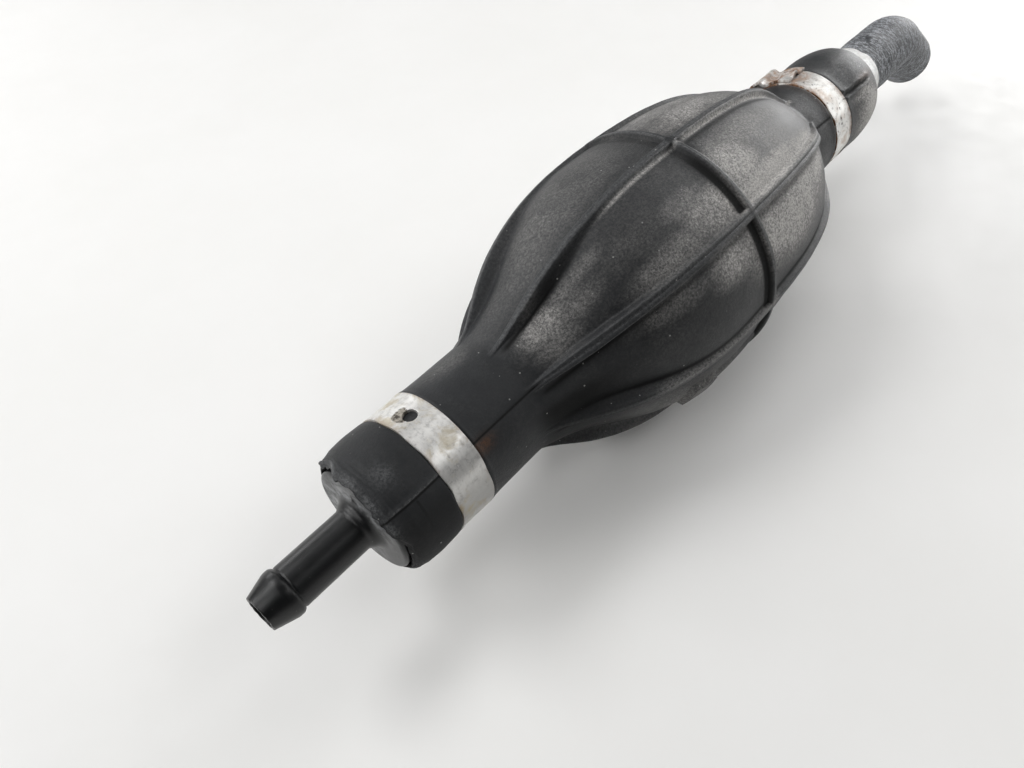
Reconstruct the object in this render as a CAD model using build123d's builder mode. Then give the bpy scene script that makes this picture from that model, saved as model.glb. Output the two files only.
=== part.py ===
"""Siphon bulb pump: a ribbed rubber bulb with a non-return valve in each neck.

The pump axis is X. Fuel enters at the hose end (high X), passes the inlet valve into the bulb,
and leaves through the outlet valve and the nozzle (low X), so it flows along -X.
The origin is on the pump axis, at the middle of the nozzle's hose barb. +Z is up. Millimetres.
"""

import math
import os

from build123d import *

# ---- where things are along the pump axis ----
NOZZLE_FACE_X = 16.6  # front of the nozzle's flange
NEAR_MOUTH_X = 17.5  # end of the rubber at the outlet
NEAR_BAND_X = 28.2
NEAR_NECK_END_X = 51.0  # where the outlet neck starts to swell into the bulb
RING_X = 105.0  # the rib round the crown of the bulb
FAR_NECK_START_X = 153.5
FAR_BAND_X = 162.1
FAR_MOUTH_X = 187.8  # end of the rubber at the inlet
INLET_FACE_X = 188.7  # front of the inlet fitting's flange
HOSE_CLAMP_X = 190.7
OUTLET_SEAT_X = 38.8  # face that the outlet valve closes on
INLET_SEAT_X = 180.0  # face that the inlet valve closes on

# ---- rubber body ----
NECK_R = 12.6
BEAD_R = 13.0  # the swelling just outside each neck clamp
NEAR_BEAD_IN = 5.0  # from the mouth to the thickest part of the swelling
FAR_BEAD_IN = 7.5
LIP_R = 11.8  # outer edge of the rubber's end faces
CROWN_R = 27.0  # the bulb between its ribs
WALL = 3.1
CHAMBER_END_IN = 1.0  # the chamber is this much shorter than the bulb at each end
NECK_BORE_R = 9.5
BAND_SEAT_R = 12.2  # the rubber where a neck clamp grips it
FLANGE_POCKET_R = 10.9
RIB_COUNT = 8
RIB_WIDTH = 2.6
RIB_SINK = 0.3  # the ribs' ends dive this far under the necks' surface
NEAR_RIB_RUN = 3.0  # and this far along them
FAR_RIB_RUN = 2.0
RING_LIFT = 1.2  # how far the ring and the ribs stand off the crown
RING_WIDTH = 2.8
NEAR_SHOULDER_SLOPE = 0.28  # the bulb leaves the outlet neck at a slight crease
FAR_SHOULDER_SLOPE = -0.6  # and meets the inlet neck at a sharper one

# ---- the two walls that are pressed ----
PRESS_LENGTH = 50.0  # along the pump
PRESS_WIDTH = 31.0  # round the bulb
PRESS_GAP = 0.3
SQUEEZE_DIR = Vector(0, 1, 1).normalized()

# ---- barbed fittings, the same at both ends ----
BARB_R = 4.6
BARB_LAND = 1.5
BARB_CONE = 4.25
BARB_BACK = 0.5  # the barb's back slopes over this length
TIP_R = 3.35
SHANK_R = 4.15
SHANK_TO_FACE = 16.6  # middle of the barb's land to the flange
COLLAR_R = 5.3
COLLAR_LENGTH = 1.2
FLANGE_R = 10.6
FLANGE_THICK = 2.2
SPIGOT_R = 9.2
SPIGOT_LENGTH = 26.0
RIDGE_R = 9.5
RIDGE_STEPS = (6.0, 11.0, 16.0)  # from the flange
RIDGE_LENGTH = 1.6
PASSAGE_R = 2.75
CHAMBER_R = 6.6

# ---- valves ----
GUIDE_BORE_R = 3.6
GUIDE_R = 3.52  # the poppet's wings, a sliding fit in the seat's bore
GUIDE_LENGTH = 5.0
WING_THICK = 1.1
POPPET_R = 5.2
POPPET_THICK = 2.0
POPPET_NECK_R = 2.0
SEAL_R = 5.0
SEAL_THICK = 1.0
SPRING_BOSS_R = 3.4
SPRING_BOSS_LENGTH = 2.0
SPRING_R = 4.2  # to the middle of the wire
SPRING_WIRE_R = 0.3
SPRING_LENGTH = 10.0
SPRING_TURNS = 5
SEAT_INSERT_LENGTH = 6.0
SEAT_CHAMFER = 0.5
CAGE_THICK = 3.0
CAGE_HUB_R = 4.8
CAGE_HUB_BORE_R = 3.0
CAGE_RIM_BORE_R = 5.5
CAGE_SPOKES = 3
CAGE_SPOKE_WIDTH = 1.2
SPOKE_ROOT = 0.4  # how far a spoke runs into the rim and the hub

# ---- clamps ----
STRIP_THICK = 0.6
NECK_CLAMP_WIDTH = 7.7
HOSE_CLAMP_WIDTH = 5.0
CLAMP_EAR_WIDTH = 5.2
CLAMP_EAR_HEIGHT = 2.2
CLAMP_EAR_CORNER_R = 0.9
CLAMP_TAIL_START = 8.0  # degrees past the ear where the overlapping tail begins
CLAMP_TAIL_ANGLE = 55.0  # how far the strip overlaps itself
CLAMP_HOLE_R = 1.4

# ---- suction hose ----
HOSE_R = 7.5
HOSE_BORE_R = 4.0
HOSE_BEND_X = 221.0  # where the two straight runs would meet
HOSE_BEND_ANGLE = 34.0
HOSE_BEND_R = 18.0
HOSE_END_RUN = 24.0  # from the bend's corner to the open end

os.makedirs("parts", exist_ok=True)
FLANGE_BACK_X = NOZZLE_FACE_X + FLANGE_THICK
INLET_BACK_X = INLET_FACE_X - FLANGE_THICK

# The bulb's outline between its necks: distance along the pump, and radius.
BULB_OUTLINE = [
    (NEAR_NECK_END_X, NECK_R),
    (60.5, 15.7),
    (77.5, 24.3),
    (RING_X, CROWN_R),
    (128.0, 24.8),
    (143.0, 19.2),
    (FAR_NECK_START_X, NECK_R),
]
# The ribs' crest line, which stands highest at the shoulders and dives into the necks.
RIB_OUTLINE = [
    (NEAR_NECK_END_X - NEAR_RIB_RUN, NECK_R - RIB_SINK),
    (60.5, 18.0),
    (77.5, 25.6),
    (RING_X, CROWN_R + RING_LIFT),
    (128.0, 26.1),
    (143.0, 20.9),
    (FAR_NECK_START_X + FAR_RIB_RUN, NECK_R - RIB_SINK),
]
RIB_ENDS = [(1, 0), (1, FAR_SHOULDER_SLOPE)]
BULB_ENDS = [(1, NEAR_SHOULDER_SLOPE), (1, FAR_SHOULDER_SLOPE)]

# ---- one-piece rubber moulding, before its pressed walls are parted from it ----
with BuildPart() as rib_cage:
    with BuildSketch(Plane.XZ):
        with BuildLine():
            crest_line = Spline(*RIB_OUTLINE, tangents=RIB_ENDS)
            Polyline(crest_line @ 1, ((crest_line @ 1).X, 0), ((crest_line @ 0).X, 0), crest_line @ 0)
        make_face()
    revolve(axis=Axis.X)
    with BuildSketch(Plane.YZ.offset(NEAR_NECK_END_X - NEAR_RIB_RUN)):
        with PolarLocations(0, RIB_COUNT // 2, angular_range=180, endpoint=False):
            Rectangle(3 * CROWN_R, RIB_WIDTH)
    rib_length = FAR_NECK_START_X + FAR_RIB_RUN - NEAR_NECK_END_X + NEAR_RIB_RUN
    extrude(amount=rib_length, mode=Mode.INTERSECT)

with BuildPart() as moulding:
    with BuildSketch(Plane.XZ):
        with BuildLine():
            bulb_line = Spline(*BULB_OUTLINE, tangents=BULB_ENDS)
            far_neck = Polyline(
                bulb_line @ 1,
                (FAR_BAND_X, NECK_R),
                (FAR_BAND_X, BAND_SEAT_R),
                (FAR_BAND_X + NECK_CLAMP_WIDTH, BAND_SEAT_R),
                (FAR_BAND_X + NECK_CLAMP_WIDTH, NECK_R),
            )
            far_bead = Spline(
                far_neck @ 1,
                (FAR_MOUTH_X - FAR_BEAD_IN, BEAD_R),
                (FAR_MOUTH_X, LIP_R),
                tangents=[(1, 0.1), (0, -1)],
            )
            near_bead = Spline(
                (NEAR_MOUTH_X, LIP_R),
                (NEAR_MOUTH_X + NEAR_BEAD_IN, BEAD_R),
                (NEAR_BAND_X, NECK_R),
                tangents=[(0, 1), (1, -0.1)],
            )
            near_neck = Polyline(
                near_bead @ 1,
                (NEAR_BAND_X, BAND_SEAT_R),
                (NEAR_BAND_X + NECK_CLAMP_WIDTH, BAND_SEAT_R),
                (NEAR_BAND_X + NECK_CLAMP_WIDTH, NECK_R),
                bulb_line @ 0,
            )
            Polyline(far_bead @ 1, (FAR_MOUTH_X, 0), (NEAR_MOUTH_X, 0), near_bead @ 0)
        make_face()
    revolve(axis=Axis.X)
    add(rib_cage.part)
    with BuildSketch(Plane.XZ):
        with Locations((RING_X, CROWN_R)):
            Rectangle(RING_WIDTH, 2 * RING_LIFT)
    revolve(axis=Axis.X)
    with BuildSketch(Plane.XZ):
        with BuildLine():
            inner = [
                (NEAR_NECK_END_X + CHAMBER_END_IN, NECK_BORE_R),
                *((x, r - WALL) for x, r in BULB_OUTLINE[1:-1]),
                (FAR_NECK_START_X - CHAMBER_END_IN, NECK_BORE_R),
            ]
            inner_line = Spline(*inner, tangents=BULB_ENDS)
            Polyline(
                inner_line @ 1,
                (INLET_BACK_X, NECK_BORE_R),
                (INLET_BACK_X, FLANGE_POCKET_R),
                (FAR_MOUTH_X, FLANGE_POCKET_R),
                (FAR_MOUTH_X, 0),
                (NEAR_MOUTH_X, 0),
                (NEAR_MOUTH_X, FLANGE_POCKET_R),
                (FLANGE_BACK_X, FLANGE_POCKET_R),
                (FLANGE_BACK_X, NECK_BORE_R),
                inner_line @ 0,
            )
        make_face()
    revolve(axis=Axis.X, mode=Mode.SUBTRACT)


def press_plane(side):
    """Through the ring's centre, facing along the squeeze, on the side +1 or -1."""
    return Plane(origin=(RING_X, 0, 0), x_dir=(1, 0, 0), z_dir=side * SQUEEZE_DIR)


def press_wall(side):
    """The pressed part of the bulb's wall on one side."""
    with BuildPart() as wall:
        add(moulding.part)
        with BuildSketch(press_plane(side)):
            Ellipse(PRESS_LENGTH / 2, PRESS_WIDTH / 2)
        extrude(amount=2 * CROWN_R, mode=Mode.INTERSECT)
    return wall.part


with BuildPart() as bulb_body:
    add(moulding.part)
    with BuildSketch(press_plane(1)):
        Ellipse(PRESS_LENGTH / 2 + PRESS_GAP, PRESS_WIDTH / 2 + PRESS_GAP)
    extrude(amount=2 * CROWN_R, both=True, mode=Mode.SUBTRACT)
bulb_wall_left = press_wall(1)
bulb_wall_right = press_wall(-1)


def fitting(face_x, inward, seat_x, guided):
    """A barbed fitting: barb, shank, flange, and the ridged spigot that holds a valve.

    inward is +1 where the spigot points along +X. guided adds a bore for the poppet's wings.
    """
    land_x = face_x - inward * SHANK_TO_FACE
    back_x = face_x + inward * FLANGE_THICK
    end_x = back_x + inward * SPIGOT_LENGTH
    outline = [
        (land_x - inward * (BARB_LAND / 2 + BARB_CONE), 0),
        (land_x - inward * (BARB_LAND / 2 + BARB_CONE), TIP_R),
        (land_x - inward * BARB_LAND / 2, BARB_R),
        (land_x + inward * BARB_LAND / 2, BARB_R),
        (land_x + inward * (BARB_LAND / 2 + BARB_BACK), SHANK_R),
        (face_x - inward * COLLAR_LENGTH, SHANK_R),
        (face_x, COLLAR_R),
        (face_x, FLANGE_R),
        (back_x, FLANGE_R),
        (back_x, SPIGOT_R),
    ]
    for step in RIDGE_STEPS:
        outline.append((back_x + inward * step, SPIGOT_R))
        outline.append((back_x + inward * step, RIDGE_R))
        outline.append((back_x + inward * (step + RIDGE_LENGTH), SPIGOT_R))
    outline += [(end_x, SPIGOT_R), (end_x, 0)]
    chamber_floor = seat_x - SEAL_THICK - POPPET_THICK - SPRING_LENGTH if inward > 0 else seat_x
    with BuildPart() as body:
        with BuildSketch(Plane.XZ):
            with BuildLine():
                Polyline(*outline, close=True)
            make_face()
        revolve(axis=Axis.X)
        with BuildSketch(Plane.YZ.offset(min(land_x, end_x) - SHANK_TO_FACE)):
            Circle(PASSAGE_R)
        extrude(amount=3 * SPIGOT_LENGTH, mode=Mode.SUBTRACT)
        with BuildSketch(Plane.YZ.offset(chamber_floor)):
            Circle(CHAMBER_R)
        extrude(amount=end_x - chamber_floor, mode=Mode.SUBTRACT)
        if guided:
            with BuildSketch(Plane.YZ.offset(seat_x)):
                Circle(GUIDE_BORE_R)
            extrude(amount=GUIDE_LENGTH + SEAL_THICK, mode=Mode.SUBTRACT)
    return body.part


outlet_nozzle = fitting(NOZZLE_FACE_X, 1, OUTLET_SEAT_X, guided=False)
inlet_fitting = fitting(INLET_FACE_X, -1, INLET_SEAT_X, guided=True)

with BuildPart() as outlet_valve_seat:
    with BuildSketch(Plane.YZ.offset(OUTLET_SEAT_X)):
        Circle(CHAMBER_R)
        Circle(GUIDE_BORE_R, mode=Mode.SUBTRACT)
    extrude(amount=SEAT_INSERT_LENGTH)
    lead_in = outlet_valve_seat.edges().filter_by(GeomType.CIRCLE).group_by(Axis.X)[-1]
    chamfer(lead_in, SEAT_CHAMFER)

with BuildPart() as inlet_spring_cage:
    cage_face = INLET_SEAT_X - SEAL_THICK - POPPET_THICK - SPRING_LENGTH
    with BuildSketch(Plane.YZ.offset(cage_face - CAGE_THICK)):
        Circle(CHAMBER_R)
        Circle(CAGE_RIM_BORE_R, mode=Mode.SUBTRACT)
        Circle(CAGE_HUB_R)
        Circle(CAGE_HUB_BORE_R, mode=Mode.SUBTRACT)
        with PolarLocations((CAGE_RIM_BORE_R + CAGE_HUB_R) / 2, CAGE_SPOKES, start_angle=90):
            Rectangle(CAGE_RIM_BORE_R - CAGE_HUB_R + 2 * SPOKE_ROOT, CAGE_SPOKE_WIDTH)
    extrude(amount=CAGE_THICK)


def valve_poppet(seat_x):
    """Disc with a boss for the spring behind it, and four wings that slide in the seat's bore."""
    disc_x = seat_x - SEAL_THICK - POPPET_THICK
    with BuildPart() as poppet:
        with BuildSketch(Plane.YZ.offset(disc_x)):
            Circle(POPPET_R)
        extrude(amount=POPPET_THICK)
        with BuildSketch(Plane.YZ.offset(disc_x - SPRING_BOSS_LENGTH)):
            Circle(SPRING_BOSS_R)
        extrude(amount=SPRING_BOSS_LENGTH)
        with BuildSketch(Plane.YZ.offset(disc_x)):
            Circle(POPPET_NECK_R)
        extrude(amount=POPPET_THICK + SEAL_THICK)
        with BuildSketch(Plane.YZ.offset(seat_x)):
            with PolarLocations(0, 2, angular_range=180, endpoint=False):
                Rectangle(2 * POPPET_R, WING_THICK)
            Circle(GUIDE_R, mode=Mode.INTERSECT)
        extrude(amount=GUIDE_LENGTH)
    return poppet.part


def valve_seal(seat_x):
    """Flat rubber washer between the poppet's disc and the seat."""
    with BuildPart() as seal:
        with BuildSketch(Plane.YZ.offset(seat_x - SEAL_THICK)):
            Circle(SEAL_R)
            Circle(POPPET_NECK_R, mode=Mode.SUBTRACT)
        extrude(amount=SEAL_THICK)
    return seal.part


def valve_spring(seat_x):
    """Coil between the poppet's disc and the chamber floor or cage behind it."""
    back_x = seat_x - SEAL_THICK - POPPET_THICK - SPRING_LENGTH
    height = SPRING_LENGTH - 2 * SPRING_WIRE_R
    with BuildPart() as spring:
        with BuildLine():
            coil = Helix(
                pitch=height / SPRING_TURNS,
                height=height,
                radius=SPRING_R,
                center=(back_x + SPRING_WIRE_R, 0, 0),
                direction=(1, 0, 0),
            )
        with BuildSketch(Plane(origin=coil @ 0, z_dir=coil % 0)):
            Circle(SPRING_WIRE_R)
        sweep(path=coil, is_frenet=True)
    return spring.part


outlet_poppet = valve_poppet(OUTLET_SEAT_X)
outlet_seal = valve_seal(OUTLET_SEAT_X)
outlet_spring = valve_spring(OUTLET_SEAT_X)
inlet_poppet = valve_poppet(INLET_SEAT_X)
inlet_seal = valve_seal(INLET_SEAT_X)
inlet_spring = valve_spring(INLET_SEAT_X)


def strip_clamp(start_x, width, inner_r, ear_angle, hole_angle):
    """Steel strip with a pinched ear, an overlapping tail and a punched hole.

    Angles are round the pump axis, from +Y towards +Z.
    """
    outer_r = inner_r + STRIP_THICK
    ear_plane = Plane.YZ.offset(start_x)
    with BuildPart() as clamp:
        with BuildSketch(ear_plane):
            Circle(outer_r)
            with Locations(Location((0, 0), ear_angle)):
                with Locations((outer_r, 0)):
                    RectangleRounded(2 * CLAMP_EAR_HEIGHT, CLAMP_EAR_WIDTH, CLAMP_EAR_CORNER_R)
                    Rectangle(
                        2 * (CLAMP_EAR_HEIGHT - STRIP_THICK),
                        CLAMP_EAR_WIDTH - 2 * STRIP_THICK,
                        mode=Mode.SUBTRACT,
                    )
            Circle(inner_r, mode=Mode.SUBTRACT)
        extrude(amount=width)
        with BuildSketch(ear_plane):
            with BuildLine():
                tail_r = outer_r + STRIP_THICK / 2
                tail = CenterArc((0, 0), tail_r, ear_angle + CLAMP_TAIL_START, CLAMP_TAIL_ANGLE)
                offset(tail, STRIP_THICK / 2, side=Side.BOTH)
            make_face()
        extrude(amount=width)
        hole_turn = math.radians(hole_angle)
        hole_dir = Vector(0, math.cos(hole_turn), math.sin(hole_turn))
        with BuildSketch(Plane(origin=(start_x + width / 2, 0, 0), z_dir=hole_dir)):
            Circle(CLAMP_HOLE_R)
        extrude(amount=2 * outer_r, mode=Mode.SUBTRACT)
    return clamp.part


outlet_neck_clamp = strip_clamp(NEAR_BAND_X, NECK_CLAMP_WIDTH, BAND_SEAT_R, 275, 84)
inlet_neck_clamp = strip_clamp(FAR_BAND_X, NECK_CLAMP_WIDTH, BAND_SEAT_R, 39, 215)
hose_clamp = strip_clamp(HOSE_CLAMP_X, HOSE_CLAMP_WIDTH, HOSE_R, 255, 164)

with BuildPart() as suction_hose:
    bend = math.radians(HOSE_BEND_ANGLE)
    hose_end = (
        HOSE_BEND_X + HOSE_END_RUN * math.cos(bend),
        -HOSE_END_RUN * math.sin(bend),
    )
    with BuildLine(Plane.XZ):
        route = FilletPolyline((INLET_FACE_X, 0), (HOSE_BEND_X, 0), hose_end, radius=HOSE_BEND_R)
    with BuildSketch(Plane.YZ.offset(INLET_FACE_X)):
        Circle(HOSE_R)
        Circle(HOSE_BORE_R, mode=Mode.SUBTRACT)
    sweep(path=route)

pieces = {
    "bulb_body": bulb_body.part,
    "bulb_wall_left": bulb_wall_left,
    "bulb_wall_right": bulb_wall_right,
    "outlet_nozzle": outlet_nozzle,
    "outlet_valve_seat": outlet_valve_seat.part,
    "outlet_valve_poppet": outlet_poppet,
    "outlet_valve_seal": outlet_seal,
    "outlet_valve_spring": outlet_spring,
    "outlet_neck_clamp": outlet_neck_clamp,
    "inlet_fitting": inlet_fitting,
    "inlet_spring_cage": inlet_spring_cage.part,
    "inlet_valve_poppet": inlet_poppet,
    "inlet_valve_seal": inlet_seal,
    "inlet_valve_spring": inlet_spring,
    "inlet_neck_clamp": inlet_neck_clamp,
    "suction_hose": suction_hose.part,
    "suction_hose_clamp": hose_clamp,
}
for name, piece in pieces.items():
    piece.label = name
    export_step(piece, f"parts/{name}.step")
    print(name, len(piece.solids()), round(piece.volume, 1))
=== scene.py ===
"""Looks of the siphon bulb pump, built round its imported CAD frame.

Metres. The pump axis is X, from the nozzle (low X) to the suction hose (high X), and +Z is up.
Turns round the axis are in degrees, from +Y towards +Z.
"""

import math
from types import SimpleNamespace

import bmesh
import bpy
import numpy as np
from mathutils import Matrix, Vector, noise


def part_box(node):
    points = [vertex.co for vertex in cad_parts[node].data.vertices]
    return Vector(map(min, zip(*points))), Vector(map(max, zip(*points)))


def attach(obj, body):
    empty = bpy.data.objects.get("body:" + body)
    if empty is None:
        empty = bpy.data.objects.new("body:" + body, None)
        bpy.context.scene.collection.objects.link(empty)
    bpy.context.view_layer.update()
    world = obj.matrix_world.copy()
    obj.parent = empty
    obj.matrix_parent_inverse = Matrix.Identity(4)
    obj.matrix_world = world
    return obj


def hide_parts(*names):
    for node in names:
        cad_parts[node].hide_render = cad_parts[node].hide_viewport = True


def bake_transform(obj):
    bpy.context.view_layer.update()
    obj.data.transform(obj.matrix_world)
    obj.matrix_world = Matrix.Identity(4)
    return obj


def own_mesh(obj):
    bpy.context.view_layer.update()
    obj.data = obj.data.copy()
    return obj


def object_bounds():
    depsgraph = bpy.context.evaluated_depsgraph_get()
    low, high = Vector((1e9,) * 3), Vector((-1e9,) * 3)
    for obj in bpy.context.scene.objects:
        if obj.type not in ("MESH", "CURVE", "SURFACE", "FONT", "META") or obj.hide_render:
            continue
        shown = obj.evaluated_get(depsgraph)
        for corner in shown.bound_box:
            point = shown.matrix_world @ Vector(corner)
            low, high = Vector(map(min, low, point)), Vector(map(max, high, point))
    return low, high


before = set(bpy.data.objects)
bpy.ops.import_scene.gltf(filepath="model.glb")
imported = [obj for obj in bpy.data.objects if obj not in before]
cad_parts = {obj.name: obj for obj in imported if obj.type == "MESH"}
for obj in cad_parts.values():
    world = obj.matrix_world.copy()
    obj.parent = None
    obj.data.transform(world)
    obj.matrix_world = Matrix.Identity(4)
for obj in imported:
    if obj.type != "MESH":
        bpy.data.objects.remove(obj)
CAD_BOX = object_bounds()

MM = 0.001
TURN = math.tau / 360

# ---- places that the frame gives ----
TIP_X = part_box("outlet_nozzle")[0].x
SPIGOT_END_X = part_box("outlet_nozzle")[1].x
NEAR_MOUTH_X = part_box("bulb_body")[0].x
FAR_MOUTH_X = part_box("bulb_body")[1].x
NEAR_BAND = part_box("outlet_neck_clamp")
FAR_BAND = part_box("inlet_neck_clamp")
HOSE_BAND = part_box("suction_hose_clamp")
HOSE_START_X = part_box("suction_hose")[0].x
HOSE_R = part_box("suction_hose")[1].y
RING_X = sum(corner.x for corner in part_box("bulb_wall_left")) / 2
FLOOR_Z = CAD_BOX[0][2]

# ---- rubber body ----
NECK_R = 12.6 * MM
BEAD_R = 13.0 * MM
BAND_SEAT_R = 12.15 * MM
BORE_R = 9.5 * MM
POCKET_R = 10.9 * MM
POCKET_DEPTH = 1.3 * MM
WALL = 3.1 * MM
RING_LIFT = 1.15 * MM
RING_CREST = 0.45 * MM
RING_FOOT = 1.25 * MM
RING_OFFSET = -0.4 * MM  # from the middle of the walls
GUTTER_DEPTH = 0.5 * MM
RIB_STEP = 45  # degrees between ribs
PARTING = 135  # one of the two ribs that the mould's halves meet in
NEAR_NECK_END = 51.0 * MM
FAR_NECK_START = 153.5 * MM
NEAR_SHOULDER_SLOPE = 0.28
FAR_SHOULDER_SLOPE = -0.6
RIB_CREST = 0.6 * MM  # half the width of a rib's top, then of its foot
RIB_FOOT = 1.32 * MM
PARTING_CREST = 0.8 * MM
PARTING_FOOT = 1.65 * MM
CREASE_X = NEAR_MOUTH_X + 4.9 * MM
PLATE_TURN = 202.5
# distance along the pump and radius, then how far the ribs stand off it
OUTLINE = [
    (NEAR_NECK_END, NECK_R),
    (60.5 * MM, 15.7 * MM),
    (77.5 * MM, 24.3 * MM),
    (RING_X, 27.0 * MM),
    (128.0 * MM, 24.8 * MM),
    (143.0 * MM, 19.2 * MM),
    (FAR_NECK_START, NECK_R),
]
RIB_LINE = [
    (NEAR_NECK_END - 3 * MM, NECK_R - 0.3 * MM),
    (60.5 * MM, 18.5 * MM),
    (77.5 * MM, 25.75 * MM),
    (RING_X, 28.15 * MM),
    (128.0 * MM, 26.1 * MM),
    (143.0 * MM, 20.9 * MM),
    (FAR_NECK_START + 2 * MM, NECK_R - 0.3 * MM),
]

# ---- suction hose ----
HOSE_BORE_R = 4.0 * MM
BEND_CORNER_X = 221.0 * MM
BEND_ANGLE = 34 * TURN
BEND_R = 18.0 * MM
END_RUN = 24.0 * MM
HOSE_ROWS = 190
HOSE_COLUMNS = 120
BORE_ROW_STEP = 6

# ---- camera, from a perspective fit of the pump's circular edges ----
CAMERA_PLACE = Vector((-13.667, -70.184, 114.529)) * MM
CAMERA_RIGHT = Vector((0.65742, -0.7508, -0.06408))
CAMERA_UP = Vector((0.59862, 0.46873, 0.64958))
LENS = 27.607


# ---- shapes from formulas ----


def ease(t):
    """0 below 0 and 1 above 1, with a smooth step between."""
    t = np.clip(t, 0, 1)
    return t * t * (3 - 2 * t)


def bell(distance, width):
    return np.exp(-((distance / width) ** 2))


def hump(distance, middle, width):
    """A bell whose middle and width are in millimetres."""
    return bell(distance - middle * MM, width * MM)


def ramp(distance, start, run):
    """0 at the start and 1 a run further on, both in millimetres. A negative run goes back."""
    return ease((distance - start * MM) / (run * MM))


def ridge(distance, crest, foot):
    """1 on the crest of a ridge, 0 past its foot."""
    return ease((foot - np.abs(distance)) / (foot - crest))


def largest(fields):
    """The largest of several fields of numbers at each point."""
    return np.maximum.reduce(np.broadcast_arrays(*fields))


def soft_max(a, b, softness):
    return (a + b + np.sqrt((a - b) ** 2 + softness**2) - softness) / 2


def curve_through(points, first_slope, last_slope):
    """A function: the cubic spline through the points, with the slopes given at its ends."""
    x, y = np.array(points).T
    gap = np.diff(x)
    rise = np.diff(y) / gap
    count = len(x)
    system = np.zeros((count, count))
    right = np.zeros(count)
    system[0, 0] = 1
    right[0] = first_slope
    system[-1, -1] = 1
    right[-1] = last_slope
    for i in range(1, count - 1):
        system[i, i - 1 : i + 2] = gap[i], 2 * (gap[i - 1] + gap[i]), gap[i - 1]
        right[i] = 3 * (gap[i] * rise[i - 1] + gap[i - 1] * rise[i])
    slope = np.linalg.solve(system, right)

    def curve(at):
        at = np.clip(at, x[0], x[-1])
        i = np.clip(np.searchsorted(x, at) - 1, 0, count - 2)
        t = (at - x[i]) / gap[i]
        return (
            y[i] * (1 + 2 * t) * (1 - t) ** 2
            + y[i + 1] * t * t * (3 - 2 * t)
            + gap[i] * t * (1 - t) * (slope[i] * (1 - t) - slope[i + 1] * t)
        )

    return curve


def flowing(points, step):
    """Points about a step apart on a smooth line through the given points."""
    p = np.array(points, float)
    p = np.vstack([2 * p[0] - p[1], p, 2 * p[-1] - p[-2]])
    made = []
    for a, b, c, d in zip(p, p[1:], p[2:], p[3:]):
        count = max(2, int(round(np.linalg.norm(c - b) / step)))
        for t in np.arange(count) / count:
            square, cube = 2 * a - 5 * b + 4 * c - d, 3 * b - a - 3 * c + d
            made.append(0.5 * (2 * b + (c - a) * t + square * t**2 + cube * t**3))
    made.append(p[-2])
    return np.array(made)


def rounded(points, parts=4):
    """The corners (x, r, rounding) of an outline as points, each corner rounded off by that much."""
    p = [np.array(point[:2], float) for point in points]
    made = []
    for i, here in enumerate(p):
        before = p[i - 1] - here
        after = p[(i + 1) % len(p)] - here
        cut = min(points[i][2], 0.45 * np.linalg.norm(before), 0.45 * np.linalg.norm(after))
        start = here + before / np.linalg.norm(before) * cut
        end = here + after / np.linalg.norm(after) * cut
        for t in np.arange(parts + 1) / parts:
            made.append((1 - t) ** 2 * start + 2 * t * (1 - t) * here + t * t * end)
    return np.array(made)


def waves(points, size, seed):
    """Smooth noise from -1 to 1 at each of the points, with lumps of that size."""
    shift = Vector((seed * 3.7, seed * 1.9, seed * 5.3))
    flat = points.reshape(-1, 3) / size
    made = np.array([noise.noise(Vector(p) + shift) for p in flat])
    return made.reshape(points.shape[:-1])


def paint(mesh, label, numbers):
    """Keeps a number for each of the mesh's points, under a label that materials read."""
    attribute = mesh.attributes.new(label, "FLOAT", "POINT")
    attribute.data.foreach_set("value", np.ascontiguousarray(numbers, np.float32).reshape(-1))


def lattice(name, grid, closed_rows, closed_columns, values=None, caps=False):
    """A mesh from rows and columns of points. values is named numbers, one per point, kept on the mesh."""
    rows, columns = grid.shape[:2]
    index = np.arange(rows * columns).reshape(rows, columns)
    if closed_rows:
        index = np.vstack([index, index[:1]])
    if closed_columns:
        index = np.hstack([index, index[:, :1]])
    quads = np.stack([index[:-1, :-1], index[1:, :-1], index[1:, 1:], index[:-1, 1:]], -1).reshape(-1, 4)
    faces = quads.tolist()
    if caps:
        ends = np.arange(columns), rows * columns - 1 - np.arange(columns)
        if not closed_columns:
            ends = np.arange(rows)[::-1] * columns, np.arange(rows) * columns + columns - 1
        faces += [end.tolist() for end in ends]
    mesh = bpy.data.meshes.new(name)
    mesh.from_pydata(grid.reshape(-1, 3).tolist(), [], faces)
    for label, numbers in (values or {}).items():
        paint(mesh, label, numbers)
    mesh.shade_smooth()
    if caps:
        for face in mesh.polygons[-2:]:
            face.use_smooth = False
    return added(name, mesh)


def added(name, data):
    made = bpy.data.objects.new(name, data)
    bpy.context.scene.collection.objects.link(made)
    return made


def lay_flat(mesh, label, flat):
    """A UV map from one flat place for each corner of the mesh's faces."""
    uv = mesh.uv_layers.new(name=label)
    uv.data.foreach_set("uv", flat.astype(np.float32).reshape(-1))


def points_at_corners(mesh):
    made = np.empty(len(mesh.loops), int)
    mesh.loops.foreach_get("vertex_index", made)
    return made


def on_circle(r, turn):
    return r * math.cos(turn * TURN), r * math.sin(turn * TURN)


def turned(profile, turns):
    """Rows of points: each (x, r) of the profile turned round the pump axis."""
    x, r = profile[:, :1], profile[:, 1:2]
    angle = turns[None, :] * TURN
    return np.stack([x + 0 * angle, r * np.cos(angle), r * np.sin(angle)], -1)


# ---- materials ----


def nodes_of(name, metallic=0.0, specular=0.5):
    material = bpy.data.materials.new(name)
    material.use_nodes = True
    tree = material.node_tree
    shader = tree.nodes["Principled BSDF"]
    shader.inputs["Metallic"].default_value = metallic
    shader.inputs["Specular IOR Level"].default_value = specular
    return material, tree, shader


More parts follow.
